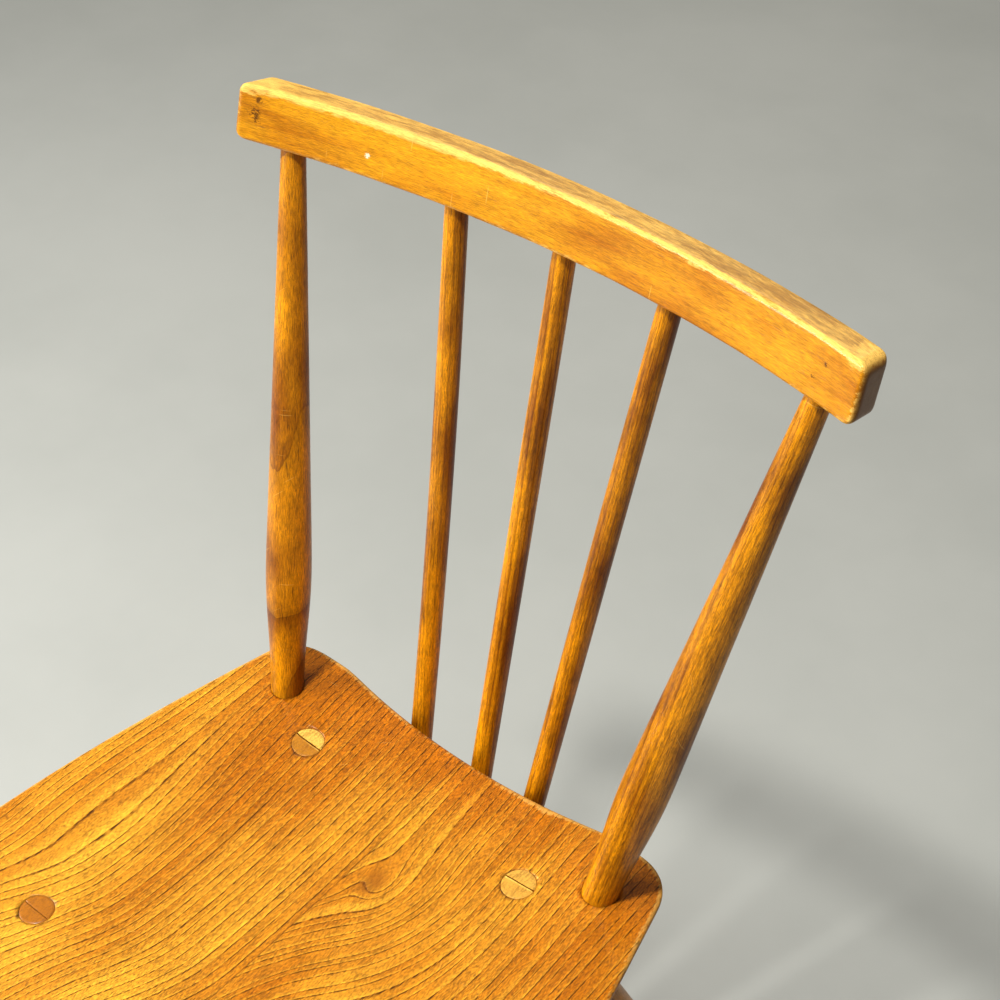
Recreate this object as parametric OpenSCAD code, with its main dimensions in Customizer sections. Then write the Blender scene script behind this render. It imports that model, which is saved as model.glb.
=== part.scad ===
// Spindle-back dining chair: a solid wooden seat on four turned legs, with an H of stretchers,
// two tapered posts and three spindles that carry a bent top rail.
// Millimetres, +Z up, the chair faces -Y. The origin is on the floor under the middle of the chair.
// Places are worked out in the seat's frame: y = 0 at the posts, z = 0 at the rim of the seat's top.

/* [Seat] */
// Height of the rim of the seat's top above the floor
seat_height = 435; // [380:1:520]
// Thickness of the seat board
seat_t = 46; // [40:1:52]
// Greatest width of the seat, near its front edge
seat_w = 388; // [340:1:470]
// Distance from the posts forward to the front edge
seat_front = 290; // [260:1:350]
// Distance from the posts back to the rear corners' edge
seat_back = 35; // [30:1:42]
// Radius of the long curve of each side edge
side_curve_r = 1150; // [900:10:2000]
// Radius of the two rear corners in plan
rear_corner_r = 27; // [20:1:32]
// Radius of the two front corners in plan
front_corner_r = 48; // [30:1:70]
// How far the front edge bows forward in its middle
front_bow = 10; // [4:1:20]
// Height of the upright edge left above the bevel underneath
edge_land = 5; // [3:0.5:9]
// Width of the bevel underneath the side and front edges
bevel_w = 32; // [22:1:33]
// Radius of the hollow cut along the rear edge in plan
rear_hollow_r = 480; // [400:10:900]
// Distance from the posts back to the middle of the hollow rear edge
rear_hollow_y = 23.5; // [18:0.5:27]
// Slope of the rear edge's bevel, in degrees from level
rear_bevel_angle = 60; // [56:1:66]
// Depth of the dished sitting surface at its middle
dish_depth = 7; // [2:0.5:10]
// Radius of the ball that the dish is cut to
dish_r = 1500; // [1200:50:2400]

/* [Legs] */
// Diameter of the leg tenons that show in the seat's top
leg_tenon_d = 19; // [16:0.5:22]
// Diameter of a leg just under the seat
leg_neck_d = 24; // [22.5:0.5:28]
// Greatest diameter of a leg
leg_belly_d = 32; // [29:0.5:38]
// Diameter of a leg at the floor
leg_foot_d = 23; // [20:0.5:28]
// Height of the greatest diameter, as a part of the leg's length
leg_belly_at = 0.6; // [0.45:0.05:0.7]
// Sideways distance of each rear leg from the middle, in the seat's top
rear_leg_x = 82; // [78:1:88]
// Distance of the rear legs in front of the posts, in the seat's top
rear_leg_y = 25; // [22:1:32]
// Sideways distance of each front leg from the middle, in the seat's top
front_leg_x = 114; // [95:1:125]
// Distance of the front legs in front of the posts, in the seat's top
front_leg_y = 210; // [190:1:225]
// Splay of the rear legs to the side, per unit of drop
rear_splay_x = 0.20; // [0.1:0.01:0.25]
// Splay of the rear legs to the back, per unit of drop
rear_splay_y = 0.335; // [0.2:0.005:0.36]
// Splay of the front legs to the side, per unit of drop
front_splay_x = 0.13; // [0.05:0.01:0.2]
// Splay of the front legs to the front, per unit of drop
front_splay_y = 0.17; // [0.1:0.01:0.22]
// Width of a tenon's wedge at the seat's surface
wedge_w = 2.4; // [1.5:0.1:4]
// Depth of the saw cut that takes a wedge
wedge_depth = 22; // [15:1:26]

/* [Stretchers] */
// Height of the stretchers above the floor
stretcher_height = 172; // [140:1:210]
// Diameter of a side stretcher at its middle
side_stretcher_d = 24; // [21:0.5:28]
// Diameter of a side stretcher at its ends
side_stretcher_end_d = 15; // [14.5:0.5:18]
// Diameter of the cross stretcher at its middle
cross_stretcher_d = 21; // [18:0.5:25]
// Diameter of the cross stretcher at its ends
cross_stretcher_end_d = 14; // [13.5:0.5:17]
// Diameter of every stretcher tenon
stretcher_tenon_d = 12; // [10:0.5:13]

/* [Back] */
// Sideways distance of each post from the middle, at the seat's top
post_x = 123; // [116:1:128]
// Sideways distance of each post from the middle, under the top rail
post_top_x = 169; // [150:1:176]
// Diameter of a post where it enters the seat
post_foot_d = 20.4; // [17:0.2:21]
// Greatest diameter of a post
post_belly_d = 27.8; // [24:0.2:32]
// Diameter of a post under the top rail
post_top_d = 13.6; // [13.4:0.2:16]
// Height of a post's greatest diameter, as a part of its length
post_belly_at = 0.24; // [0.15:0.01:0.4]
// Diameter of a spindle
spindle_d = 13.8; // [13.2:0.2:15]
// Diameter of a spindle under the top rail
spindle_top_d = 13.1; // [12.8:0.1:14]
// Sideways distance of the outer spindles from the middle, at the seat's top
spindle_x = 46.5; // [35:0.5:55]
// Sideways distance of the outer spindles from the middle, under the top rail
spindle_top_x = 70; // [50:0.5:85]
// Distance of the middle spindle behind the posts, at the level of the seat's top
spindle_y = 48; // [46:0.5:50]
// How far the outer spindles stand in front of the middle one at that level
spindle_arc = 6.5; // [2:0.5:9]
// Diameter of the tenons that enter the top rail
rail_tenon_d = 12.6; // [11:0.1:12.6]
// Depth of those tenons in the top rail
rail_tenon_depth = 19; // [14:0.5:24]

/* [Top rail] */
// Length of the top rail across the chair
rail_length = 392; // [372:1:460]
// Height of the top rail's face
rail_h = 32.2; // [29:0.5:40]
// Thickness of the top rail
rail_t = 21.5; // [19.5:0.5:26]
// Radius of the bend of the top rail, along its middle
rail_bend_r = 566; // [480:2:900]
// Backward lean of the top rail, in degrees from upright
rail_lean = 14.5; // [10:0.5:18]
// Height of the middle of the rail's underside above the seat's rim
back_height = 323.8; // [280:1:380]
// Distance of the middle of the rail's underside behind the posts
back_rake = 113.5; // [95:0.5:130]
// Radius of the rounding along the rail's long edges
rail_edge_r = 2.8; // [2:0.5:6]
// Radius of the rail's end corners, seen from the front
rail_end_r = 5.5; // [4:0.5:13]

/* [Fit] */
// Gap between a tenon and the wall of its hole, on each side
glue_gap = 0.05; // [0.02:0.01:0.15]
// Gap between the end of a tenon and the bottom of a blind hole
end_gap = 0.5; // [0.2:0.1:1.5]

/* [Hidden] */

left = -1;
right = 1;
room = 60;               // spare length of shapes that are trimmed afterwards
steps = 16;              // rings in each half of a turned profile
neck_len = 5;            // length over which a leg widens from its tenon to its neck
shoulder_gap = 4;        // bare tenon left between a leg's or stretcher's neck and the wood it enters
rail_gap = 1.2;          // the same, between a post's or spindle's top and the top rail
past_axis = 4;           // how far a stretcher's tenon goes past the axis of a leg
past_cross_axis = 3;     // the same, for the cross stretcher in a side stretcher
stretcher_neck = 6;      // length over which a stretcher narrows to its tenon
wedge_tip = 0.5;         // width of a wedge's thin end
hook = 0.05;             // softness of the turn at a post's greatest diameter

// Places on the axes of the legs, posts and spindles, in the seat's frame.
function leg_top(side, rear) = rear ? [side * rear_leg_x, -rear_leg_y, 0]
                                    : [side * front_leg_x, -front_leg_y, 0];
function leg_drop(side, rear) = rear ? [side * rear_splay_x, rear_splay_y, -1]
                                     : [side * front_splay_x, -front_splay_y, -1];
function leg_at(side, rear, drop) = leg_top(side, rear) + leg_drop(side, rear) * drop;
function post_foot(side) = [side * post_x, 0, 0];
function post_top(side) = rail_under(side * post_top_x);
function spindle_foot(side) = [side * spindle_x, spindle_y - abs(side) * spindle_arc, 0];
function spindle_top(side) = rail_under(side * spindle_top_x);

// The middle line of the rail's underside: an arc in a plane that leans back with the rail.
function rail_setback(x) = rail_bend_r - sqrt(rail_bend_r * rail_bend_r - x * x);
function rail_under(x) = [x, back_rake - rail_setback(x) * cos(rail_lean),
                          back_height + rail_setback(x) * sin(rail_lean)];

// The chair's depth, from which the origin under its middle follows.
back_of_rail = back_rake + rail_h * sin(rail_lean) + rail_t / 2 * cos(rail_lean);
function foot_reach(splay) = leg_foot_d / 2 * sqrt(1 + splay * splay);
back_of_foot = leg_at(right, true, seat_height).y + foot_reach(rear_splay_y);
front_of_foot = leg_at(right, false, seat_height).y - foot_reach(front_splay_y);
origin_y = -(max(back_of_rail, back_of_foot) + min(-seat_front, front_of_foot)) / 2;

// Height of a leg's neck above the floor.
leg_len = seat_height - seat_t - shoulder_gap;

// A smooth change from a to b, a swell from a through b to c, and a line with a soft start.
function blend(a, b, u) = a + (b - a) * (1 - cos(180 * u)) / 2;
function swell(a, b, c, at, u) = u < at ? blend(a, b, u / at) : blend(b, c, (u - at) / (1 - at));
function soft_line(u) = (sqrt(u * u + hook * hook) - hook) / (sqrt(1 + hook * hook) - hook);
// Radius of a post at a part u of its length from the seat to the rail.
function post_r(u) = (u < post_belly_at ? blend(post_foot_d, post_belly_d, u / post_belly_at)
    : post_belly_d + (post_top_d - post_belly_d)
      * soft_line((u - post_belly_at) / (1 - post_belly_at))) / 2;
// Radius of a turned leg at a drop below the seat's rim.
function leg_r(drop) = swell(leg_foot_d, leg_belly_d, leg_neck_d, leg_belly_at,
                             (seat_height - drop) / leg_len) / 2;

// Stands the children's +Z axis on the line from one point to another, with +X kept level.
module stand(from, to) {
    u = (to - from) / norm(to - from);
    translate(from) rotate([-asin(u.y), atan2(u.x, u.z), 0]) children();
}

// A turned solid from a list of [radius, height] points.
module turned(profile) {
    last = len(profile) - 1;
    rotate_extrude($fn = 48)
        polygon(concat([[0, profile[0].y]], profile, [[0, profile[last].y]]));
}

// A plain round pin or hole from one height to another.
module pin(d, z0, z1) {
    translate([0, 0, z0]) cylinder(d = d, h = z1 - z0, $fn = 48);
}

// Moves the seat's frame to the chair's frame.
module place() {
    translate([0, origin_y, seat_height]) children();
}

// Everything above the seat's top surface, dish included.
module above_seat() {
    translate([-room - seat_w, -seat_front - room, 0])
        cube([2 * (room + seat_w), seat_front + 4 * room, room]);
    translate([0, -seat_front / 3, dish_r - dish_depth]) sphere(r = dish_r, $fn = 240);
}

// Everything below the seat's underside.
module below_seat() {
    translate([-seat_w, -seat_front - room, -seat_t - room])
        cube([2 * seat_w, seat_front + 4 * room, room]);
}

// Everything below the floor, in the seat's frame.
module below_floor() {
    translate([-2 * seat_w, -2 * seat_front, -seat_height - room])
        cube([4 * seat_w, 4 * seat_front, room]);
}

// ---- Seat ----

// Half the seat's width at a distance y from the posts, before the corners are rounded.
function seat_half_w(y) = seat_w / 2 - side_curve_r
    + sqrt(side_curve_r * side_curve_r - pow(y + seat_front, 2));

// The seat's outline in plan, drawn in by an inset all round.
module seat_outline(inset) {
    rear_x = seat_half_w(seat_back - rear_corner_r) - rear_corner_r;
    front_x = seat_half_w(front_corner_r - seat_front) - front_corner_r;
    side_ys = [for (i = [0 : 8]) front_corner_r - seat_front
               + i / 8 * (seat_front - front_corner_r)];
    hull() {
        for (side = [left, right]) {
            translate([side * rear_x, seat_back - rear_corner_r])
                circle(r = max(rear_corner_r - inset, 6), $fn = 48);
            translate([side * front_x, front_corner_r + front_bow - seat_front])
                circle(r = front_corner_r - inset, $fn = 48);
            polygon([for (y = side_ys) [side * (seat_half_w(y) - inset), y],
                     [0, -seat_front / 2]]);
        }
        polygon([[0, 0], for (i = [-4 : 4])
            [i / 4 * front_x, front_bow * pow(i / 4, 2) + inset - seat_front]]);
    }
}

// The part of the underside that reaches back under the rear bevel, to hold the spindles.
module spindle_ledge() {
    reach = rear_hollow_y + seat_t / tan(rear_bevel_angle);
    for (side = [left, right])
        translate([side * (spindle_x + 2 * spindle_d), reach - spindle_d])
            circle(d = 2 * spindle_d, $fn = 32);
}

// The hollow bevel along the rear edge: a cone whose axis stands behind the chair.
module rear_bevel() {
    run = 1 / tan(rear_bevel_angle);
    translate([0, rear_hollow_y + rear_hollow_r, -seat_t - room])
        cylinder(r1 = rear_hollow_r - (seat_t + room) * run, r2 = rear_hollow_r + room * run,
                 h = seat_t + 2 * room, $fn = 180);
}

module seat() {
    color("goldenrod") place() difference() {
        hull() {
            translate([0, 0, -edge_land]) linear_extrude(edge_land) seat_outline(0);
            translate([0, 0, -seat_t]) linear_extrude(1) seat_outline(bevel_w);
            translate([0, 0, -seat_t]) linear_extrude(1) hull() spindle_ledge();
        }
        above_seat();
        rear_bevel();
        for (side = [left, right]) {
            for (rear = [false, true])
                stand(leg_at(side, rear, seat_height), leg_top(side, rear))
                    pin(leg_tenon_d + 2 * glue_gap, seat_height - seat_t - room,
                        seat_height + 2 * room);
            stand(post_foot(side), post_top(side))
                pin(post_foot_d + 2 * glue_gap, -seat_t - room, room);
        }
        for (side = [left, 0, right])
            stand(spindle_foot(side), spindle_top(side))
                pin(spindle_d + 2 * glue_gap, -seat_t - room, room);
    }
}

// ---- Legs and their wedges ----

// Length of a leg's axis from the floor to the level of the seat's rim.
function leg_axis_len(rear) = norm(leg_drop(right, rear)) * seat_height;

// A wedge's shape in the frame of a leg or post: its thin end points into the wood.
module wedge_shape(d, end, tip, extra) {
    rotate([90, 0, 90]) translate([0, 0, -d / 2]) linear_extrude(d)
        polygon([[-wedge_tip / 2 - extra, tip - extra], [wedge_tip / 2 + extra, tip - extra],
                 [wedge_w / 2 + extra, end], [-wedge_w / 2 - extra, end]]);
}

module leg_wedge_blank(rear, extra) {
    stretch = norm(leg_drop(right, rear));
    end = leg_axis_len(rear) + leg_tenon_d / 2;
    intersection() {
        wedge_shape(leg_tenon_d + 2, end, leg_axis_len(rear) - wedge_depth * stretch, extra);
        pin(leg_tenon_d, leg_axis_len(rear) - 2 * wedge_depth, end + 1);
    }
}

// The holes in a leg that take the side stretcher's tenon.
module leg_mortise(side, rear) {
    stand(stretcher_end(side, rear), stretcher_end(side, !rear))
        pin(stretcher_tenon_d + 2 * glue_gap, -past_axis - end_gap, room);
}

module leg(side, rear) {
    stretch = norm(leg_drop(side, rear));
    neck = leg_len * stretch;
    profile = concat(
        [[leg_foot_d / 2, -room / 2]],
        [for (i = [0 : 2 * steps])
            [swell(leg_foot_d, leg_belly_d, leg_neck_d, leg_belly_at, i / 2 / steps) / 2,
             i / 2 / steps * (neck - neck_len)]],
        [[leg_tenon_d / 2, neck], [leg_tenon_d / 2, leg_axis_len(rear) + leg_tenon_d]]);
    color("chocolate") place() difference() {
        stand(leg_at(side, rear, seat_height), leg_top(side, rear)) difference() {
            turned(profile);
            leg_wedge_blank(rear, glue_gap);
        }
        above_seat();
        below_floor();
        leg_mortise(side, rear);
    }
}

module leg_wedge(side, rear) {
    color("burlywood") place() difference() {
        stand(leg_at(side, rear, seat_height), leg_top(side, rear)) leg_wedge_blank(rear, 0);
        above_seat();
    }
}

// ---- Stretchers ----

drop_to_stretcher = seat_height - stretcher_height;
function stretcher_end(side, rear) = leg_at(side, rear, drop_to_stretcher);
function stretcher_mid(side) = (stretcher_end(side, false) + stretcher_end(side, true)) / 2;

// A stretcher that swells in its middle, with a tenon on each end.
module stretcher(length, mid_d, end_d, clear, past) {
    body = length - 2 * clear;
    half = [for (i = [0 : 2 * steps])
        [swell(end_d, mid_d, end_d, 0.5, i / 2 / steps) / 2, clear + i / 2 / steps * body]];
    turned(concat([[stretcher_tenon_d / 2, -past],
                   [stretcher_tenon_d / 2, clear - stretcher_neck]],
                  half,
                  [[stretcher_tenon_d / 2, length - clear + stretcher_neck],
                   [stretcher_tenon_d / 2, length + past]]));
}

module side_stretcher(side) {
    front = stretcher_end(side, false);
    rear = stretcher_end(side, true);
    color("chocolate") place() difference() {
        stand(front, rear)
            stretcher(norm(rear - front), side_stretcher_d, side_stretcher_end_d,
                      leg_r(drop_to_stretcher) + stretcher_neck + shoulder_gap, past_axis);
        stand(stretcher_mid(side), stretcher_mid(-side))
            pin(stretcher_tenon_d + 2 * glue_gap, -past_cross_axis - end_gap, room);
    }
}

module cross_stretcher() {
    color("chocolate") place()
        stand(stretcher_mid(left), stretcher_mid(right))
            stretcher(norm(stretcher_mid(right) - stretcher_mid(left)), cross_stretcher_d,
                      cross_stretcher_end_d,
                      side_stretcher_d / 2 + stretcher_neck + shoulder_gap, past_cross_axis);
}

// ---- Posts, their wedges and spindles ----

module post_wedge_blank(side, extra) {
    tilt = norm(post_top(side) - post_foot(side)) / post_top(side).z;
    end = -seat_t * tilt;
    intersection() {
        rotate([180, 0, 0])
            wedge_shape(post_foot_d + 2, -end + post_foot_d / 2, -end - wedge_depth, extra);
        pin(post_foot_d, end - post_foot_d, 0);
    }
}

module post(side) {
    length = norm(post_top(side) - post_foot(side));
    profile = concat(
        [[post_foot_d / 2, -seat_t - room / 2]],
        [for (i = [0 : 3 * steps]) [post_r(i / 3 / steps), i / 3 / steps * (length - rail_gap)]],
        [[rail_tenon_d / 2, length - rail_gap], [rail_tenon_d / 2, length + rail_tenon_depth]]);
    color("peru") place() difference() {
        stand(post_foot(side), post_top(side)) difference() {
            turned(profile);
            post_wedge_blank(side, glue_gap);
        }
        below_seat();
    }
}

module post_wedge(side) {
    color("burlywood") place() difference() {
        stand(post_foot(side), post_top(side)) post_wedge_blank(side, 0);
        below_seat();
    }
}

module spindle(side) {
    length = norm(spindle_top(side) - spindle_foot(side));
    profile = [[spindle_d / 2, -seat_t - room / 2], [spindle_d / 2, length * 2 / 3],
               [spindle_top_d / 2, length - rail_gap],
               [rail_tenon_d / 2, length - rail_gap], [rail_tenon_d / 2, length + rail_tenon_depth]];
    color("peru") place() difference() {
        stand(spindle_foot(side), spindle_top(side)) turned(profile);
        below_seat();
    }
}

// ---- Top rail ----

// The rail's cross-section with rounded edges: x across the rail, y up its face.
module rail_section() {
    corner = [for (i = [0 : 4]) rail_edge_r * [cos(i * 22.5), sin(i * 22.5)]];
    w = rail_t / 2 - rail_edge_r;
    top = rail_h - rail_edge_r;
    translate([rail_bend_r, 0]) polygon(concat(
        [for (p = corner) [w + p.x, top + p.y]],
        [for (p = corner) [-w - p.y, top + p.x]],
        [for (p = corner) [-w - p.x, rail_edge_r - p.y]],
        [for (p = corner) [w + p.y, rail_edge_r - p.x]]));
}

// The rail's outline from the front, with rounded end corners.
module rail_face() {
    hull() for (x = [-1, 1], z = [rail_end_r, rail_h - rail_end_r])
        translate([x * (rail_length / 2 - rail_end_r), z]) circle(r = rail_end_r, $fn = 48);
}

// A tenon's hole in the top rail, along the axis of the post or spindle.
module rail_mortise(foot, top) {
    stand(top, 2 * top - foot)
        pin(rail_tenon_d + 2 * glue_gap, -room / 2, rail_tenon_depth + end_gap);
}

module top_rail() {
    sweep = 2 * asin(rail_length / 2 / (rail_bend_r - rail_t)) + 1;
    color("goldenrod") place() difference() {
        translate([0, back_rake, back_height]) rotate([-rail_lean, 0, 0])
            intersection() {
                translate([0, -rail_bend_r, 0]) rotate([0, 0, 90 - sweep / 2])
                    rotate_extrude(angle = sweep, $fn = 240) rail_section();
                translate([0, rail_t, 0]) rotate([90, 0, 0])
                    linear_extrude(rail_setback(rail_length / 2) + 3 * rail_t) rail_face();
            }
        for (side = [left, right]) rail_mortise(post_foot(side), post_top(side));
        for (side = [left, 0, right]) rail_mortise(spindle_foot(side), spindle_top(side));
    }
}

seat();
leg(left, false);  // leg_front_left
leg(right, false);  // leg_front_right
leg(left, true);  // leg_rear_left
leg(right, true);  // leg_rear_right
leg_wedge(left, false);  // leg_wedge_front_left
leg_wedge(right, false);  // leg_wedge_front_right
leg_wedge(left, true);  // leg_wedge_rear_left
leg_wedge(right, true);  // leg_wedge_rear_right
side_stretcher(left);  // side_stretcher_left
side_stretcher(right);  // side_stretcher_right
cross_stretcher();
post(left);  // post_left
post(right);  // post_right
post_wedge(left);  // post_wedge_left
post_wedge(right);  // post_wedge_right
spindle(left);  // spindle_left
spindle(0);  // spindle_middle
spindle(right);  // spindle_right
top_rail();
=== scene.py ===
# %% [markdown]
# # A spindle-back dining chair
#
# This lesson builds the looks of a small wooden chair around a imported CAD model. The CAD model says
# how big each piece is and where it sits. Blender's job is what a camera sees: softly worn edges,
# turned sticks that are not quite perfect, open elm grain, honey varnish, and soft studio light.
# Every length is in metres. The chair faces -Y and stands on the floor at z = 0.

# %% Load the frame
from math import cos, pi, radians, sin, sqrt

import bmesh
import bpy
import numpy as np
from mathutils import Matrix, Vector, noise
from mathutils.bvhtree import BVHTree


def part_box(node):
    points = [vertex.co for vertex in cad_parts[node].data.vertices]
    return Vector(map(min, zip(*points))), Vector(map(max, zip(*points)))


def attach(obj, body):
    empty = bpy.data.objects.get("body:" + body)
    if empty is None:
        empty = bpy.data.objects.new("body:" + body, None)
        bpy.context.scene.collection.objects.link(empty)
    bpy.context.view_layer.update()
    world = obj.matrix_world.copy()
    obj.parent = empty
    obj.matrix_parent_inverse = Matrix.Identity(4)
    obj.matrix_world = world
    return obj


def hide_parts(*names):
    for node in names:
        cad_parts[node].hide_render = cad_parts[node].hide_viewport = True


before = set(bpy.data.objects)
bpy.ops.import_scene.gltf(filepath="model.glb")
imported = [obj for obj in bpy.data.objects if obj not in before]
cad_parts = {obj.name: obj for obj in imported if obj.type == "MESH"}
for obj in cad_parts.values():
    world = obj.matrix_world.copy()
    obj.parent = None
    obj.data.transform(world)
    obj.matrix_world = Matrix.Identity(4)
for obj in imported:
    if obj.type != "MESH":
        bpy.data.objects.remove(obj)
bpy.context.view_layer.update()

MM = 0.001

# %% [markdown]
# ## The camera
#
# A camera is an object with camera data. The lens length and the sensor width, which is 36 mm
# unless it is changed, set how much it takes in. Here it stands in front of the chair and to its
# right, towards +X, higher than the top rail. It looks down across the seat, so that the legs stay
# out of view.

# %% Camera
LENS = 67.145                          # in millimetres, as on a real lens
LOOK_DOWN, TURN_LEFT = 42.33, 39.34    # degrees


def add_object(name, data):
    """A new object in the scene, made from its data."""
    made = bpy.data.objects.new(name, data)
    bpy.context.scene.collection.objects.link(made)
    return made


cam_data = bpy.data.cameras.new("camera")
cam_data.lens = LENS
camera = add_object("camera", cam_data)
camera.location = (0.4792, -0.44272, 1.3097)
camera.rotation_euler = (radians(90 - LOOK_DOWN), 0, radians(TURN_LEFT))
bpy.context.scene.camera = camera
print("camera", [round(v, 3) for v in camera.location], "with a lens of", LENS, "mm")

# %% [markdown]
# ## Measuring the CAD pieces
#
# Nothing is placed by eye. A plane cut through a CAD node gives a ring of points, and the middle of
# that ring lies on the axis of a turned stick. Two such cuts give the axis, and many cuts give the
# radius all the way along. `bmesh.ops.bisect_plane` makes the cut on a copy, so that the node itself
# is never changed.

# %% Cutting and measuring
cad_meshes = {}


def cad_mesh(node):
    """An editable copy of a CAD node, kept for the many cuts made in it."""
    if node not in cad_meshes:
        cad_meshes[node] = bmesh.new()
        cad_meshes[node].from_mesh(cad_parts[node].data)
    return cad_meshes[node]


def slice_points(node, where, normal):
    """The points in which a plane cuts a CAD node, as rows of x, y, z."""
    copy = cad_mesh(node).copy()
    everything = copy.verts[:] + copy.edges[:] + copy.faces[:]
    cut = bmesh.ops.bisect_plane(copy, geom=everything, plane_co=where, plane_no=normal)
    points = [v.co[:] for v in cut["geom_cut"] if isinstance(v, bmesh.types.BMVert)]
    copy.free()
    return np.array(points)


def axis_of(node):
    """A point on a turned node's axis, and the axis's direction along its longest side."""
    low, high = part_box(node)
    size = high - low
    along = max(range(3), key=lambda i: size[i])
    middles = []
    for share in (0.3, 0.7):
        where, normal = low + size * share, Vector((0, 0, 0))
        normal[along] = 1
        ring = slice_points(node, where, normal)
        middles.append(Vector((ring.min(0) + ring.max(0)) / 2))
    return middles[0], (middles[1] - middles[0]).normalized()


def radii_of(node, point, axis, starts, ends, count=48):
    """Radius of a turned node at evenly spaced distances along its axis."""
    along = np.linspace(starts, ends, count)
    radii = []
    for t in along:
        where = point + axis * float(t)
        ring = slice_points(node, where, axis) - np.array(where)
        radii.append(np.linalg.norm(ring, axis=1).max())
    return along, np.array(radii)


def at_height(node, z):
    """The place on a turned node's axis at a height."""
    point, axis = axis_of(node)
    return point + axis * ((z - point.z) / axis.z)


seat_low, seat_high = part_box("seat")
RIM = seat_high.z                      # height of the rim of the seat's top
UNDER = seat_low.z                     # height of the seat's underside
POST_Y = at_height("post_left", RIM).y               # the line of the posts, at the rim
print(f"rim {RIM:.4f}, underside {UNDER:.4f}, post line y {POST_Y:.4f}")

# %% [markdown]
# ## From points to a piece
#
# A loft is a stack of closed loops with the same number of points, joined by strips of quads and
# closed at both ends. Most of this chair is lofts: a stick is a stack of circles, the rail a stack
# of rounded oblongs, and the seat a stack of outlines. One helper makes the mesh, another turns it
# into a smooth-shaded piece, and a third makes the piece ride on the chair and stand for its CAD
# node.

# %% Lofts and pieces
def loft(loops):
    """Faces for a stack of loops of points, as (points, faces), with both ends closed by fans."""
    count = len(loops[0])
    points = [p for loop in loops for p in loop]
    points += [np.mean(loops[0], axis=0), np.mean(loops[-1], axis=0)]
    faces = []
    for row in range(len(loops) - 1):
        for i in range(count):
            a, b = row * count + i, row * count + (i + 1) % count
            faces.append((a, b, b + count, a + count))
    top = (len(loops) - 1) * count
    for i in range(count):
        j = (i + 1) % count
        faces.append((j, i, len(points) - 2))
        faces.append((top + i, top + j, len(points) - 1))
    return points, faces


def piece_from(name, points, faces, matrix):
    """A smooth-shaded object with outward faces, from points given in the object's own frame."""
    mesh = bpy.data.meshes.new(name)
    mesh.from_pydata([tuple(float(c) for c in p) for p in points], [], faces)
    work = bmesh.new()
    work.from_mesh(mesh)
    bmesh.ops.recalc_face_normals(work, faces=work.faces[:])
    work.to_mesh(mesh)
    work.free()
    mesh.shade_smooth()
    piece = add_object(name, mesh)
    piece.matrix_world = matrix
    return piece


def carve(piece, cutters):
    """Takes the cutters' shapes out of a piece with Boolean modifiers, then applies them."""
    for cutter in cutters:
        cut = piece.modifiers.new("cut", "BOOLEAN")
        cut.object, cut.operation, cut.solver = cutter, "DIFFERENCE", "EXACT"
    bpy.context.view_layer.update()
    solid = piece.evaluated_get(bpy.context.evaluated_depsgraph_get())
    carved = bpy.data.meshes.new_from_object(solid)
    piece.modifiers.clear()
    piece.data = carved
    for cutter in cutters:
        bpy.data.objects.remove(cutter)


def own_points(piece):
    """The piece's points in its own frame, as rows."""
    flat = np.zeros(len(piece.data.vertices) * 3)
    piece.data.vertices.foreach_get("co", flat)
    return flat.reshape(-1, 3)


def write_values(piece, name, values):
    """Stores a number or a vector at each point, for the materials to read."""
    kind, field = ("FLOAT_VECTOR", "vector") if values.ndim == 2 else ("FLOAT", "value")
    attribute = piece.data.attributes.new(name, kind, "POINT")
    attribute.data.foreach_set(field, values.astype(np.float32).ravel())


def settle(piece, slot, *nodes):
    """The piece rides on the chair and stands for CAD nodes, which are hidden. The slot is not used.
    """
    piece.data.transform(piece.matrix_world)
    piece.matrix_world = Matrix.Identity(4)
    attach(piece, "root")
    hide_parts(*nodes)
    print(piece.name, len(piece.data.vertices), "points")


# %% [markdown]
# ## The seat's top and its outline
#
# The seat is one thick plank of elm. A carver's dish, part of a large ball, is cut into its top, and
# the height of the top at any place follows from it. Two softened heights meet without a hard line
# where the dish runs out. The outline comes from rays shot at the CAD seat from outside, in plan,
# at three heights: under the rim, at the foot of the upright edge, and at the underside.

# %% Measure the dish and the outline
DISH_R = 1.5                           # radius of the ball that the dish is cut to
DISH_SOFT = 0.3 * MM                   # softness of the line where the dish runs out
EDGE_LAND = 5 * MM                     # height of the upright edge
SEAT_FRONT = POST_Y - seat_low.y       # posts to front edge
seat_tree = BVHTree.FromBMesh(cad_mesh("seat"))
DISH_Y = POST_Y - SEAT_FRONT / 3
DISH_DEPTH = RIM - seat_tree.ray_cast(Vector((0, DISH_Y, RIM + 0.1)), Vector((0, 0, -1)))[0].z


def seat_top(x, y):
    """Height of the seat's top surface at a place in plan."""
    ball = DISH_R - DISH_DEPTH - np.sqrt(DISH_R ** 2 - x * x - (y - DISH_Y) ** 2)
    return RIM + (ball - np.sqrt(ball * ball + DISH_SOFT ** 2)) / 2


CENTRE = Vector((0, POST_Y - 0.125, 0))              # the edge is measured from here
RAYS = 720
angles = np.linspace(0, 2 * pi, RAYS, endpoint=False)


def outline_at(heights):
    """Distance of the seat's edge from the centre in every direction, each at its own height."""
    reach = []
    for angle, height in zip(angles, heights):
        way = Vector((cos(angle), sin(angle), 0))
        start = CENTRE + way * 0.5 + Vector((0, 0, height))
        hit = seat_tree.ray_cast(start, -way)[0]
        reach.append((hit - CENTRE).xy.length)
    reach = np.array(reach)
    for _ in range(3):                 # rounds off the flats of the CAD's corner arcs
        reach = (np.roll(reach, 1) + 2 * reach + np.roll(reach, -1)) / 4
    return reach


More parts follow.
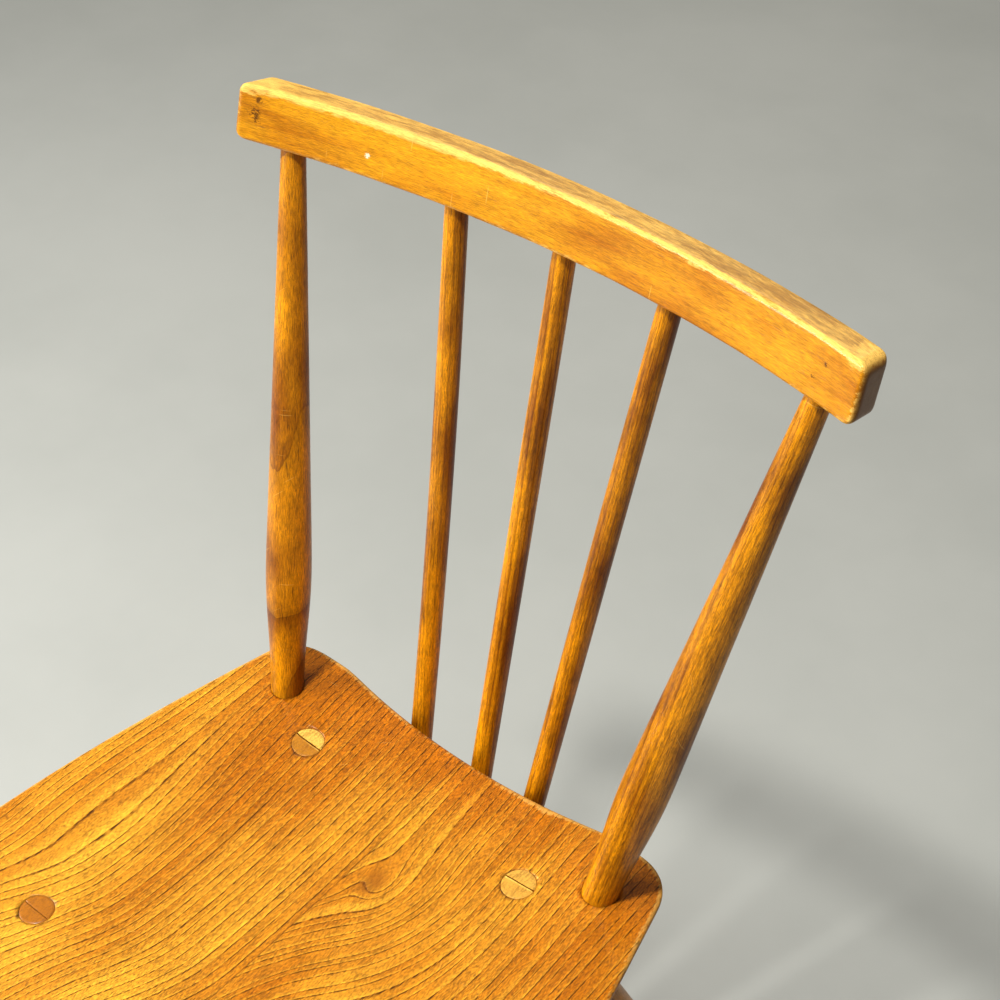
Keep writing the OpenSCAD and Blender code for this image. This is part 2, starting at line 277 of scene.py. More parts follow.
land_edge = outline_at([RIM - EDGE_LAND] * RAYS)
crest = [seat_top(CENTRE.x + cos(a) * r, CENTRE.y + sin(a) * r)
         for a, r in zip(angles, land_edge)]
top_edge = outline_at([height - 0.4 * MM for height in crest])
under_edge = outline_at([UNDER + 0.6 * MM] * RAYS)
print(f"dish {DISH_DEPTH / MM:.1f} mm deep; edge at the back {top_edge[RAYS // 4] / MM:.1f} mm",
      f"and at the front {top_edge[3 * RAYS // 4] / MM:.1f} mm from the centre")

# %% [markdown]
# ## The seat
#
# The loft runs from the middle of the top outwards, round the top arris, down the upright edge,
# inwards along the wide bevel underneath and across the underside. Along the back the wall leans
# the other way, so the same loft gives the steep hollow face that the spindles enter. Every corner
# is a short curve, because a sharp edge never catches the light, and a hand-sanded one varies a
# little in width as it goes.

# %% Loft the seat
ARRIS = 2.6 * MM                       # width of the rounding at the top edge
ARRIS_VARIES = 0.35                    # share by which that width varies along the edge
LOWER_ARRIS = 2.2 * MM                 # at the foot of the upright edge
UNDER_ARRIS = 3.0 * MM                 # at the underside


def curve_round(before, corner, after, width, steps):
    """Points that round the corner of a path: a quadratic curve from side to side of it."""
    a = corner + (before - corner) * min(0.45, width / np.linalg.norm(before - corner))
    b = corner + (after - corner) * min(0.45, width / np.linalg.norm(after - corner))
    shares = [i / steps for i in range(steps + 1)]
    return [a * (1 - t) ** 2 + corner * 2 * t * (1 - t) + b * t * t for t in shares]


def seat_path(ray):
    """One radial line of the seat in the seat's frame, from the middle of the top to below."""
    way = np.array([cos(angles[ray]), sin(angles[ray])])

    def top_at(distance):
        return seat_top(CENTRE.x + way[0] * distance, CENTRE.y + way[1] * distance)

    wobble = noise.noise(Vector((way[0] * 6, way[1] * 6, 3.1)))
    width = ARRIS * (1 + ARRIS_VARIES * wobble)
    rim = np.array([top_edge[ray], top_at(top_edge[ray])])
    land = np.array([land_edge[ray], RIM - EDGE_LAND])
    bottom = np.array([under_edge[ray], UNDER])
    shares = 1 - (1 - np.linspace(0.02, 1, 46)) ** 1.25      # closer together near the edge
    path = [(d, top_at(d)) for d in (rim[0] - width) * shares]
    path += curve_round(rim - (0.02, 0), rim, land, width, 6)[1:]
    path += curve_round(rim, land, bottom, LOWER_ARRIS, 4)
    path += [land + (bottom - land) * t for t in np.linspace(0.12, 0.88, 9)]
    path += curve_round(land, bottom, bottom - (0.03, 0), UNDER_ARRIS, 4)
    path += [((bottom[0] - UNDER_ARRIS * 2) * s, UNDER) for s in np.linspace(0.97, 0.03, 20)]
    return [(CENTRE.x + way[0] * d, CENTRE.y + way[1] * d - POST_Y, z - RIM) for d, z in path]


lines = [seat_path(ray) for ray in range(RAYS)]
loops = [[line[row] for line in lines] for row in range(len(lines[0]))]
seat_points, seat_faces = loft(loops)
SEAT_FRAME = Matrix.Translation((0, POST_Y, RIM))
seat = piece_from("seat_board", seat_points, seat_faces, SEAT_FRAME)
print("seat", len(seat_points), "points in", len(loops), "loops")

# %% [markdown]
# ## Turned sticks
#
# A lathe makes legs, posts, spindles and stretchers alike, so one function makes them all: it
# measures the CAD node's axis and radii, then stacks circles along it. The object's own Z axis runs
# up the stick, which later lets the grain follow it. A real stick isn't perfect, so the circles
# wander by tenths of a millimetre, and a stick may bow. Where a stick ends flush with another
# surface, its end ring slides along the axis until it meets that surface.

# %% One lathe for every stick
SEGMENTS = 72                          # points in a ring
RING_STEP = 3 * MM
PLAIN_END = 12 * MM                    # length at each end where the last radius is kept
WANDER = 0.10 * MM                     # how far the rings stray from the axis
UNEVEN, INSET = 0.004, 0.0015          # shares of the radius: out of round, and smaller
SOFT_END = 0.35 * MM                   # soft edge of a flush end
END_CLEAR = 1.2 * MM                   # no ring lies nearer than this to a flush end


def axis_frame(point, axis):
    """A matrix whose Z runs along the axis, and whose X stays as level as it can."""
    side = Vector((1, 0, 0)) if abs(axis.x) < 0.9 else Vector((0, 1, 0))
    across = (side - axis * side.dot(axis)).normalized()
    turn = Matrix((across, axis.cross(across), axis)).transposed().to_4x4()
    return Matrix.Translation(point) @ turn


def turn_stick(node, bow, seed, start_z):
    """Rings for a turned stick in its own frame, that frame, and the stick's widest radius."""
    point, axis = axis_of(node)
    if axis.z < -0.2:
        axis = -axis
    distances = [(v.co - point).dot(axis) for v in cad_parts[node].data.vertices]
    lowest, highest = min(distances), max(distances)
    along, radii = radii_of(node, point, axis, lowest + PLAIN_END, highest - PLAIN_END)
    base = lowest if start_z is None else (start_z - point.z) / axis.z
    rings = []
    for t in np.arange(lowest, highest + RING_STEP, RING_STEP):
        bend = sin(pi * (t - lowest) / (highest - lowest))
        r = float(np.interp(t, along, radii))
        drift = Vector((t * 9, seed * 7.3, 0))
        x = bow[0] * bend + WANDER * noise.noise(drift)
        y = bow[1] * bend + WANDER * noise.noise(drift + Vector((0, 0, 5)))
        ring = []
        for i in range(SEGMENTS):
            a = 2 * pi * i / SEGMENTS
            rough = noise.noise(Vector((cos(a) * 1.2, sin(a) * 1.2, t * 22 + seed * 3.7)))
            rr = r * (1 + UNEVEN * rough) - INSET * r
            ring.append((x + rr * cos(a), y + rr * sin(a), t - base))
        rings.append(ring)
    return rings, axis_frame(point + axis * base, axis), radii.max()


def slide_ends(rings, matrix, low_at=None, high_at=None):
    """Trims a stack of rings at surfaces of given height, with a small soft edge at each end."""
    back = matrix.inverted()
    axis = (matrix.to_3x3() @ Vector((0, 0, 1))).normalized()
    for surface, sign in ((low_at, 1), (high_at, -1)):
        if surface is None:
            continue
        kept = []
        for ring in rings:
            world = [matrix @ Vector(p) for p in ring]
            if min(sign * (w.z - surface(w.x, w.y)) for w in world) > END_CLEAR:
                kept.append(ring)
        outer = [matrix @ Vector(p) for p in kept[0 if sign == 1 else -1]]
        slid = [w + axis * ((surface(w.x, w.y) - w.z) / axis.z) for w in outer]
        middle = sum(slid, Vector()) / len(slid)
        middle.z = surface(middle.x, middle.y)
        stack = [[w + axis * (sign * SOFT_END) for w in slid]]
        for share in (SOFT_END / (outer[0] - middle).length, 0.2, 0.45, 0.7, 0.9):
            ring = [w.lerp(middle, share) for w in slid]
            stack.append([Vector((w.x, w.y, surface(w.x, w.y))) for w in ring])
        caps = [[tuple(back @ w) for w in ring] for ring in stack]
        rings = caps[::-1] + kept if sign == 1 else kept + caps
    return rings


def floor_level(x, y):
    return 0.0


def underside(x, y):
    return UNDER


def above_top(x, y):
    """Height of a leg's end, a hair above the seat's top."""
    return seat_top(x, y) + 0.08 * MM


sticks = {}


def add_stick(prefix, node, bow=(0, 0), seed=0, start_z=None, **surfaces):
    """Turns a stick, trims its ends at the surfaces and keeps the piece under its node's name."""
    rings, matrix, widest = turn_stick(node, bow, seed, start_z)
    sticks[node] = piece_from(prefix + node, *loft(slide_ends(rings, matrix, **surfaces)), matrix)
    print(f"{node}: {len(rings)} rings, {widest / MM:.1f} mm radius at its widest")

# %% [markdown]
# ## Posts and spindles
#
# The two posts swell near the seat and taper to the rail; the three spindles are almost straight.
# Their feet go right through the board and end flush with its underside, and their tops end inside
# the rail. The left spindle has bowed a little towards the right with age.

# %% Turn the back's sticks
BOWED = (1.7 * MM, 1.2 * MM)           # how far the left spindle has bowed, in its own X and Y
back_sticks = {"post_left": ((0, 0), 1), "post_right": ((0, 0), 2),
               "spindle_left": (BOWED, 3), "spindle_middle": ((0.3 * MM, 0), 4),
               "spindle_right": ((-0.3 * MM, 0.2 * MM), 5)}
for node, (bow, seed) in back_sticks.items():
    add_stick("stick_", node, bow, seed, RIM, low_at=underside)

# %% [markdown]
# ## Legs and stretchers
#
# Each leg stands flat on the floor, swells in its upper half and passes through the board, where a
# wedge spreads its tenon. The stretchers tie the legs together as an H. Their tenons end inside the
# legs, so nobody sees those ends.

# %% Turn the legs and stretchers
leg_names = [f"leg_{end}_{side}" for end in ("front", "rear") for side in ("left", "right")]
for seed, node in enumerate(leg_names, 11):
    add_stick("turned_", node, (0, 0), seed, 0, low_at=floor_level, high_at=above_top)
for seed, node in enumerate(("side_stretcher_left", "side_stretcher_right",
                             "cross_stretcher"), 21):
    add_stick("turned_", node, (0, 0), seed)

# %% [markdown]
# ## The top rail
#
# The rail is one bent bar. Two cuts through the CAD rail give its lean, thickness, height and the
# radius of its bend. The loft then moves along X with a rounded oblong, which shrinks a little at
# both ends so that the ends are soft too. The upper front edge has been rubbed by many hands, so
# its rounding is the widest, and small noise keeps every edge from looking machined.

# %% Measure and loft the rail
RAIL_EDGE = 2.4 * MM                   # rounding along the long edges
RUBBED = 1.15                          # how much wider it is along the upper front edge
RAIL_END = 7.0 * MM                    # rounding of the end corners, seen from the front
RAIL_END_DEPTH = 4.2 * MM              # rounding of the ends, seen from above
NEAR, FAR = 0.100, 0.186               # places of two cuts that miss the holes
CORNERS = [(-1, 1), (1, 1), (1, -1), (-1, -1)]       # (front or back, top or bottom)


def rail_cut(x):
    """Middle, lean, height and thickness of the CAD rail where it is cut across."""
    ring = slice_points("top_rail", Vector((x, 0, 0)), Vector((1, 0, 0)))[:, 1:]
    tries = []
    for lean in np.radians(np.arange(8, 22, 0.25)):          # the true lean has the least area
        back, rise = np.array([cos(lean), -sin(lean)]), np.array([sin(lean), cos(lean)])
        b, u = ring @ back, ring @ rise
        middle = back * (b.min() + b.max()) / 2 + rise * (u.min() + u.max()) / 2
        tries.append((np.ptp(b) * np.ptp(u), middle, lean, np.ptp(u), np.ptp(b)))
    return min(tries, key=lambda one: one[0])[1:]


near_mid, lean, rail_h, near_t = rail_cut(NEAR)
far_mid = rail_cut(FAR)[0]
BACK = Vector((0, cos(lean), -sin(lean)))
RISE = Vector((0, sin(lean), cos(lean)))
fall = (near_mid - far_mid) @ np.array(BACK.yz)
bend_r = 0.55
for _ in range(40):                    # finds the bend whose fall between the two cuts fits
    bend_r *= (sqrt(bend_r ** 2 - NEAR ** 2) - sqrt(bend_r ** 2 - FAR ** 2)) / fall
rail_t = near_t * sqrt(1 - (NEAR / bend_r) ** 2)
rail_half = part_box("top_rail")[1].x
middle = Vector((0, *near_mid)) + BACK * (bend_r - sqrt(bend_r ** 2 - NEAR ** 2))
RAIL_FRAME = Matrix((Vector((1, 0, 0)), BACK, RISE)).transposed().to_4x4()
RAIL_FRAME.translation = middle
print(f"rail: bend {bend_r:.4f}, lean {np.degrees(lean):.2f}, height {rail_h:.4f},",
      f"thickness {rail_t:.4f}")


def rail_loop(x, shrink_h, shrink_t):
    """A rounded oblong at a place along the rail, in the rail's frame."""
    half_h, half_t = rail_h / 2 - shrink_h, rail_t / 2 - shrink_t
    arcs = []
    for k, (front, high) in enumerate(CORNERS):
        ragged = noise.noise(Vector((x * 30, k * 5.5, 1.7)))
        wide = RAIL_EDGE * (RUBBED if k == 0 else 1.0) * (1 + 0.22 * ragged)
        r = min(wide, half_h * 0.9, half_t * 0.9)
        centre = np.array([front * (half_t - r), high * (half_h - r)])
        turns = [pi - pi / 2 * (k + i / 8) for i in range(9)]
        arcs.append([centre + r * np.array([cos(a), sin(a)]) for a in turns])
    loop = []
    for k, arc in enumerate(arcs):
        flat = arcs[(k + 1) % 4][0] - arc[-1]                # from this arc to the next
        count = 9 if k % 2 == 0 else 13
        loop += arc + [arc[-1] + flat * i / count for i in range(1, count)]
    return [(x, sqrt((bend_r + depth) ** 2 - x * x) - bend_r, height) for depth, height in loop]


inner_end = rail_half - RAIL_END
stations = [(x, 0.0, 0.0) for x in np.linspace(-inner_end, inner_end, 190)]
for i in range(1, 11):
    turn = pi / 2 * i / 10
    x = inner_end + RAIL_END * sin(turn)
    past = max(0.0, (x - (rail_half - RAIL_END_DEPTH)) / RAIL_END_DEPTH)
    thin = RAIL_END_DEPTH * (1 - sqrt(max(0.0, 1 - past * past)))
    low = RAIL_END * (1 - cos(turn)) * 0.8
    stations.append((x, low, thin))
    stations.insert(0, (-x, low, thin))
rail_loops = [rail_loop(*station) for station in stations]
for end in (0, -1):
    outer = np.array(rail_loops[end])
    centre = outer.mean(0)
    inner = [[tuple(centre + (p - centre) * s) for p in outer] for s in (0.8, 0.5, 0.2)]
    rail_loops = inner[::-1] + rail_loops if end == 0 else rail_loops + inner
rail = piece_from("bent_top_rail", *loft(rail_loops), RAIL_FRAME)

# %% [markdown]
# ## Holes, tenons and wedges
#
# The sticks sit in real holes. A hair of a gap round each tenon shows as the fine dark line that a
# glued joint has. Boolean modifiers cut the holes out of the seat and the rail, and a saw cut out of
# each wedged tenon. The wedges are copies of the CAD ones, thinned where the real wedge was driven
# in so far that only a line of it shows.

# %% Cut the joints
GAP = 0.16 * MM                        # gap round a tenon in the seat and in the rail
RAIL_HOLE = 6.55 * MM                  # radius of the tenons in the rail
HOLE_PAST = 0.4 * MM                   # how far a blind hole goes past its tenon
WEDGE_GAP = 0.12 * MM                  # gap beside a wedge
WEDGE_SIDE, WEDGE_PAST = 1.5 * MM, 3 * MM            # the saw cut beyond the wedge


def hole_for(node, low, high, radius=None):
    """A round cutter along a stick, between two heights and a gap wider than its tenon."""
    axis = axis_of(node)[1]
    axis = -axis if axis.z < 0 else axis
    if radius is None:                 # the tenon's own radius, just under the seat's top
        where = at_height(node, RIM - 12 * MM)
        radius = np.linalg.norm(slice_points(node, where, axis) - np.array(where), axis=1).max()
    wide, tall = radius + GAP, (high - low) / axis.z
    loops = [[(wide * cos(a), wide * sin(a), z)
              for a in np.linspace(0, 2 * pi, 96, endpoint=False)] for z in (0, tall / 2, tall)]
    return piece_from("cutter", *loft(loops), axis_frame(at_height(node, low), axis))


def rail_hole(node):
    """The cutter of the blind hole in the rail for one stick of the back."""
    matrix = sticks[node].matrix_world
    top = max((matrix @ v.co).z for v in sticks[node].data.vertices)
    return hole_for(node, top - 0.035, top + HOLE_PAST, RAIL_HOLE)


def wedge_copy(node, thin, grow=0.0, tall=0.0):
    """A copy of a CAD wedge, thinned across its blade and, as a cutter, grown on all sides."""
    copy = cad_mesh(node).copy()
    bmesh.ops.remove_doubles(copy, verts=copy.verts[:], dist=1e-6)
    mesh = bpy.data.meshes.new(node)
    copy.to_mesh(mesh)
    copy.free()
    host = node.replace("_wedge", "")
    axis = axis_of(host)[1]
    blade = Vector((1, 0, 0)) - axis * axis.x
    across = axis.cross(blade).normalized()
    middle = sum((v.co for v in mesh.vertices), Vector()) / len(mesh.vertices)
    for v in mesh.vertices:
        off = (v.co - middle).dot(across)
        v.co += across * ((thin - 1) * off + (grow if off > 0 else -grow))
        if grow:
            side = WEDGE_SIDE if (v.co - middle).dot(blade) > 0 else -WEDGE_SIDE
            v.co += blade.normalized() * side
            if (v.co.z > middle.z) == (tall > 0):
                v.co.z += tall
    return add_object("wedge_in_" + host, mesh)


carve(seat, [hole_for(n, UNDER - 0.03, RIM + 0.03) for n in leg_names + list(back_sticks)])
carve(rail, [rail_hole(n) for n in back_sticks])
THINNED = {"leg_wedge_front_left": 0.4, "leg_wedge_rear_left": 0.45}
wedges = {}
for host in leg_names + ["post_left", "post_right"]:
    node = host.replace("_", "_wedge_", 1)
    thin = THINNED.get(node, 1.0)
    past = WEDGE_PAST if host in leg_names else -WEDGE_PAST
    carve(sticks[host], [wedge_copy(node, thin, WEDGE_GAP, past)])
    wedges[node] = wedge_copy(node, thin)
print("seat now", len(seat.data.vertices), "points; wedges", len(wedges))

# %% [markdown]
# ## Grain coordinates and wear
#
# Materials need to know where the wood's fibres run. Each piece stores, at every point, its place
# in the straight piece of timber that it came from: `grain`, with Y along the fibres of the seat
# and Z along a stick or the rail. It also stores `edge`, which is 1 on an edge that hands and
# clothes rub and falls to 0 within some millimetres. Attributes written once the shape is final are
# simpler than UV maps here, because procedural wood is three-dimensional anyway.

# %% Write grain and edge values
def fade(distance, reach):
    """1 at no distance, falling smoothly to about 0 at twice the reach."""
    return np.exp(-(distance / reach) ** 2)


places = own_points(seat)
write_values(seat, "grain", places[:, [0, 2, 1]])
flat_way = places[:, :2] - np.array([0, CENTRE.y - POST_Y])
bearing = np.arctan2(flat_way[:, 1], flat_way[:, 0]) % (2 * pi)
edge_here = np.interp(bearing, np.append(angles, 2 * pi), np.append(top_edge, top_edge[0]))
from_rim = np.hypot(edge_here - np.linalg.norm(flat_way, axis=1), places[:, 2])
write_values(seat, "edge", fade(from_rim, 4 * MM))

def write_stick_values(piece, shift=(0, 0, 0)):
    """Fibres along the piece's own Z, from their own place in the timber, and no rubbed edge."""
    places = own_points(piece)
    write_values(piece, "grain", places + np.array(shift))
    write_values(piece, "edge", np.zeros(len(places)))
    write_values(piece, "local", places)


for number, stick in enumerate(sticks.values()):
    write_stick_values(stick, (0.31 * number, 0.17 * number, 0))
for wedge in wedges.values():
    write_stick_values(wedge)

places = own_points(rail)
depth, height = np.hypot(places[:, 1] + bend_r, places[:, 0]) - bend_r, places[:, 2]
run = bend_r * np.arcsin(places[:, 0] / bend_r)
RAIL_RUN = float(run.max())            # half the rail's length, measured along its bend
write_values(rail, "grain", np.stack([depth, height, run], axis=1))
to_front, to_back = depth + rail_t / 2, depth - rail_t / 2
to_top, to_low = height - rail_h / 2, height + rail_h / 2
to_end = rail_half - np.abs(places[:, 0])
rubbed = [(1.0, to_front, to_top, 2.5), (0.55, to_back, to_top, 3), (0.35, to_front, to_low, 2.5),
          (0.6, to_front, to_end, 3), (0.95, 1.4 * to_top, 0.42 * to_end, 6.5),
          (0.6, to_low, to_end, 4)]    # (strength, distances to two faces, reach in mm)
write_values(rail, "edge", np.max([strength * fade(np.hypot(one, other), reach * MM)
                                   for strength, one, other, reach in rubbed], axis=0))
print(f"values on {2 + len(sticks) + len(wedges)} pieces; rail {2 * RAIL_RUN:.4f} along its bend")

# %% [markdown]
# ## Wiring up materials
#
# A node tree can be built by hand or in code. Code suits a set of related woods, because each one
# repeats the same effects with its own values. `put` adds a node and fills its inputs, either from
# another node's output or with a plain value. `new_group` makes a shader node group with named
# inputs and outputs, so that an effect is built once, and `use` places it in every material that
# needs it. `weighted` adds up effects and `paint_over` lays colours one over the other.

# %% Helpers for node trees
def fill(tree, made, inputs):
    """Joins outputs of other nodes to a node's inputs, or sets plain values."""
    for key, value in inputs.items():
        if isinstance(value, bpy.types.NodeSocket):
            tree.links.new(value, made.inputs[key])
        else:
            made.inputs[key].default_value = value


def put(tree, kind, inputs=None, **settings):
    """Adds a shader node and fills its inputs with outputs of other nodes or with values."""
    made = tree.nodes.new("ShaderNode" + kind)
    for key, value in settings.items():
        setattr(made, key, value)
    fill(tree, made, inputs or {})
    return made


def calc(tree, operation, *values):
    return put(tree, "Math", dict(enumerate(values)), operation=operation).outputs[0]


def vector_calc(tree, operation, *values):
    keys = (0, "Scale") if operation == "SCALE" else range(3)
    made = put(tree, "VectorMath", dict(zip(keys, values)), operation=operation)
    return made.outputs["Value" if operation in ("LENGTH", "DOT_PRODUCT") else 0]


def ramp(tree, value, start, end, low=0.0, high=1.0):
    """Turns a value that runs from start to end into one that eases from low to high."""
    made = put(tree, "MapRange", {0: value, 1: start, 2: end, 3: low, 4: high},
               interpolation_type="SMOOTHSTEP")
    return made.outputs[0]


def blotches(tree, place, scale, detail=2.0, rough=0.5):
    """Noise between 0 and 1; scale has a number for each direction."""
    stretched = vector_calc(tree, "MULTIPLY", place, scale)
    return put(tree, "TexNoise", {"Vector": stretched, "Scale": 1.0, "Detail": detail,
                                  "Roughness": rough}).outputs["Fac"]


def thread_scale(tree, given):
    """Scale of noise whose spots have a group's own length and breadth."""
    narrow, long = (calc(tree, "DIVIDE", 1.0, given[side]) for side in ("Breadth", "Length"))
    return put(tree, "CombineXYZ", {0: narrow, 1: narrow, 2: long}).outputs[0]


def weighted(tree, start, *terms):
    """Adds to a start every term's value times its weight."""
    for value, weight in terms:
        start = calc(tree, "MULTIPLY_ADD", value, weight, start)
    return start


def blend_colours(tree, share, first, second):
    made = put(tree, "Mix", data_type="RGBA")
    fill(tree, made, {0: share, 6: first, 7: second})
    return made.outputs[2]


def paint_over(tree, wood, *layers):
    """Lays colours over the wood in turn, each as (mask, strength, colour)."""
    for mask, strength, colour in layers:
        wood = blend_colours(tree, calc(tree, "MULTIPLY", mask, strength), wood, colour)
    return wood


def shade_colour(tree, shade, colour):
    """Multiplies a colour by a shade, a number near 1."""
    if isinstance(colour, tuple):
        colour = colour[:3]
    return vector_calc(tree, "SCALE", colour, shade)


def new_group(name, outputs, **inputs):
    """A shader node group that takes a place and more inputs: (tree, its inputs, its end)."""
    tree = bpy.data.node_groups.new(name, "ShaderNodeTree")
    for title, value in {"Place": (0, 0, 0), **inputs}.items():
        kind = "NodeSocketVector" if isinstance(value, tuple) else "NodeSocketFloat"
        socket = tree.interface.new_socket(title, in_out="INPUT", socket_type=kind)
        socket.default_value = value
    for title in outputs:
        tree.interface.new_socket(title, in_out="OUTPUT", socket_type="NodeSocketFloat")
    return tree, tree.nodes.new("NodeGroupInput").outputs, tree.nodes.new("NodeGroupOutput")


def use(tree, group, place, **inputs):
    """Places a node group in a tree and gives its outputs."""
    made = tree.nodes.new("ShaderNodeGroup")
    made.node_tree = group
    fill(tree, made, {"Place": place, **inputs})
    return made.outputs


# %% [markdown]
# ## Growth rings
#
# A tree lays down one ring a year. On a sawn board the rings show as lines, each with a sharp side
# where spring growth starts, and a soft one. The group takes the distance across the rings, which
# each material works out in its own way, divides it by the ring width and keeps the fraction. Uneven
# years come from slow noise, and the whole part of the division gives every ring its own tone.

# %% Group: growth rings
tree, given, out = new_group("growth rings", ["Line", "Late", "Tone"],
                             Across=0.0, Width=0.005, Ragged=0.001)
rings_group = tree
waver = calc(tree, "SUBTRACT", blotches(tree, given["Place"], (60, 60, 14), 3), 0.5)
across = calc(tree, "MULTIPLY_ADD", waver, given["Ragged"], given["Across"])
years = calc(tree, "DIVIDE", across, given["Width"])
uneven = put(tree, "TexNoise", {"W": calc(tree, "MULTIPLY", years, 0.45), "Scale": 1.0,
                                "Detail": 1.0}, noise_dimensions="1D").outputs["Fac"]
years = weighted(tree, years, (uneven, 1.6))
part = calc(tree, "FRACT", years)
spring = ramp(tree, part, 0.02, 0.20, 1.0, 0.0)
before_spring = ramp(tree, part, 0.97, 1.0)
tone = put(tree, "TexWhiteNoise", {"W": calc(tree, "FLOOR", years)}, noise_dimensions="1D")
fill(tree, out, {"Line": calc(tree, "MAXIMUM", spring, before_spring),
                 "Late": ramp(tree, part, 0.60, 0.97),
                 "Tone": calc(tree, "SUBTRACT", tone.outputs["Value"], 0.5)})

# %% [markdown]
# ## Figure
#
# Rings don't run straight past a knot or a ripple in the trunk: they bulge round it. The group says
# how far a place is pushed sideways by one such spot, strongest beside its middle and fading in both
# directions. Adding a few spots to the distance across the rings draws the whole figure of a board.

# %% Group: figure round a spot
tree, given, out = new_group("figure round a spot", ["Shift", "Mask"],
                             Middle=(0, 0, 0), Reach=(0.03, 1, 0.06), Push=0.7)
figure_group = tree
away = vector_calc(tree, "SUBTRACT", given["Place"], given["Middle"])
share = vector_calc(tree, "DIVIDE", away, given["Reach"])
squared = vector_calc(tree, "DOT_PRODUCT", share, share)
near = calc(tree, "EXPONENT", calc(tree, "MULTIPLY", squared, -0.5))
side = put(tree, "SeparateXYZ", {0: away}).outputs[0]
pushed = calc(tree, "MULTIPLY", side, given["Push"])
fill(tree, out, {"Shift": calc(tree, "MULTIPLY", pushed, near), "Mask": near})

# %% [markdown]
# ## Pores and flecks
#
# Elm shows open pores as dark dashes; beech shows short flecks where its rays are cut. Both are
# noise stretched along the fibres, with only its peaks kept. Length and width are real sizes, so one
# group serves both woods.

# %% Group: pores and flecks
tree, given, out = new_group("pores and flecks", ["Pores"],
                             Length=0.006, Breadth=0.0006, Amount=0.3)
pores_group = tree
speckle = blotches(tree, given["Place"], thread_scale(tree, given), 1.0)
limit = calc(tree, "MULTIPLY_ADD", given["Amount"], -0.5, 0.82)
fill(tree, out, {"Pores": ramp(tree, calc(tree, "SUBTRACT", speckle, limit), 0.0, 0.09)})

# %% [markdown]
# ## Grit under the varnish
#
# Seen close, varnished wood is never one flat colour: every fibre takes the stain a little
# differently. The group gives a fine grain of lighter and darker threads, longer than they are wide,
# over a softer mottle. Materials multiply their colour by it.

# %% Group: fibre grit
tree, given, out = new_group("fibre grit", ["Shade"], Length=0.004, Breadth=0.0007, Depth=0.3)
grit_group = tree
threads = blotches(tree, given["Place"], thread_scale(tree, given), 3.0, 0.75)
patchy = blotches(tree, given["Place"], (130, 130, 50), 3.0, 0.6)
both = calc(tree, "MULTIPLY_ADD", threads, 2.2, calc(tree, "MULTIPLY", patchy, 0.5))
centred = ramp(tree, both, 0.95, 1.75, -1.0, 1.0)
fill(tree, out, {"Shade": calc(tree, "MULTIPLY_ADD", centred, given["Depth"], 1.0)})

# %% [markdown]
# ## Wear, grime and scuffs
#
# Three effects tell the age of the chair. Worn edges are pale, because varnish and colour are gone;
# their border is ragged. Grime gathers in a ring where one piece enters another. Scuffs are a few
# thin scratches in all directions. Each group puts out only a mask, and each material decides what
# colour and roughness the mask brings.

# %% Groups: worn edge, grime ring, scuffs
tree, given, out = new_group("worn edge", ["Worn"], Edge=0.0, Wear=0.5)
wear_group = tree
coarse = blotches(tree, given["Place"], (420, 420, 130), 5, 0.75)
patchy = blotches(tree, given["Place"], (25, 25, 11), 2)
rub = weighted(tree, given["Edge"], (calc(tree, "SUBTRACT", coarse, 0.5), 2.2),
               (calc(tree, "SUBTRACT", patchy, 0.5), 1.5))
rub = calc(tree, "ADD", rub, calc(tree, "SUBTRACT", given["Wear"], 1.0))
only_edges = ramp(tree, given["Edge"], 0.02, 0.30)
fill(tree, out, {"Worn": calc(tree, "MULTIPLY", ramp(tree, rub, 0.0, 0.35), only_edges)})

tree, given, out = new_group("grime ring", ["Grime"],
                             Middle=(0, 0, 0), Radius=0.01, Spread=0.002)
grime_group = tree
away = vector_calc(tree, "SUBTRACT", given["Place"], given["Middle"])
distance = vector_calc(tree, "LENGTH", vector_calc(tree, "MULTIPLY", away, (1, 0, 1)))
from_ring = calc(tree, "ABSOLUTE", calc(tree, "SUBTRACT", distance, given["Radius"]))
share = calc(tree, "DIVIDE", from_ring, given["Spread"])
dirt = calc(tree, "EXPONENT", calc(tree, "MULTIPLY", share, -1.0))
patch = ramp(tree, blotches(tree, given["Place"], (500, 500, 500), 2), 0.25, 0.6, 0.45, 1.0)
fill(tree, out, {"Grime": calc(tree, "MULTIPLY", dirt, patch)})

tree, given, out = new_group("scuffs", ["Scuffs"], Amount=0.5)
scuff_group = tree
limit = calc(tree, "MULTIPLY_ADD", given["Amount"], -0.1, 0.88)
scuffs = 0.0
for turn, offset in ((0.5, 0.0), (-0.9, 3.0), (1.6, 7.0)):
    turned = put(tree, "VectorRotate", {"Vector": given["Place"], "Angle": turn},
                 rotation_type="Y_AXIS").outputs[0]
    narrow = vector_calc(tree, "MULTIPLY_ADD", turned, (1400, 40, 45), (offset, 0, 0))
    streak = put(tree, "TexNoise", {"Vector": narrow, "Scale": 1.0, "Detail": 0.0}).outputs["Fac"]
    line = ramp(tree, calc(tree, "SUBTRACT", streak, limit), 0.0, 0.05)
    scuffs = calc(tree, "MAXIMUM", scuffs, line)
fill(tree, out, {"Scuffs": scuffs})
print("groups", [g.name for g in bpy.data.node_groups])
